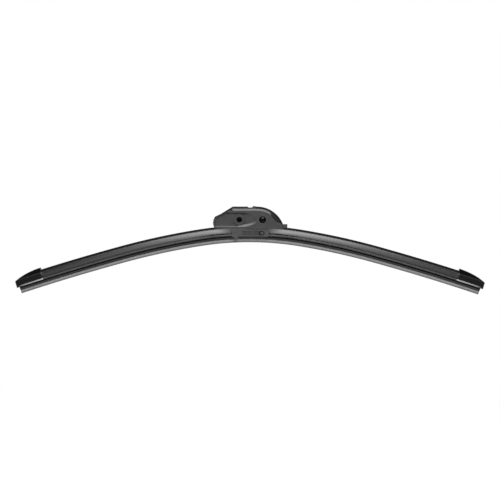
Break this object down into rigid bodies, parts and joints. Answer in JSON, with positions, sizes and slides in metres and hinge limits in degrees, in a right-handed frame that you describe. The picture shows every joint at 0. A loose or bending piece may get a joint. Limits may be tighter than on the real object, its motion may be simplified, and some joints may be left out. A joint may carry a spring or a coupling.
{
  "type": "wiper blade",
  "caption": "Arched flat beam wiper blade with a spoiler fin, capped tips and a rubber squeegee, and a rocking arm adapter with a flip cover for a side pin or hook arm.",
  "frame": {"origin": "middle of the arm-pin bore, half way between the adapter's cheeks", "axes": "+X along the blade towards the adapter's covered nose, +Y across the blade, into the arm-pin bore from its mouth, +Z away from the glass"},
  "size_m": [0.537, 0.018, 0.1004],
  "materials": {
    "squeegee_rubber": "satin, graphite coated",
    "spring_steel": "black coated spring steel",
    "spoiler_elastomer": "satin extruded elastomer",
    "cap_plastic": "glossy black",
    "base_plastic": "fine grained black",
    "rivet_steel": "black coated steel",
    "adapter_plastic": "satin dark grey",
    "cover_plastic": "satin black"
  },
  "bodies": {
    "adapter": {"adapter_body": "adapter_plastic"},
    "blade": {"wiper_rubber": "squeegee_rubber", "spring_rail_front": "spring_steel", "spring_rail_rear": "spring_steel", "spoiler_left": "spoiler_elastomer", "spoiler_right": "spoiler_elastomer", "end_cap_left": "cap_plastic", "end_cap_right": "cap_plastic", "connector_base": "base_plastic", "pivot_rivet": "rivet_steel", "pivot_bush": "base_plastic"},
    "cover": {"locking_cover": "cover_plastic"}
  },
  "joints": [
    {"name": "blade_pivot", "type": "hinge", "parent": "adapter", "child": "blade", "pos_m": [0.0265, 0, 0], "axis": [0, 1, 0], "range_deg": [-8, 8]},
    {"name": "cover_hinge", "type": "hinge", "parent": "adapter", "child": "cover", "pos_m": [0.0166, 0, 0.0131], "axis": [0, -1, 0], "range_deg": [0, 100]}
  ]
}
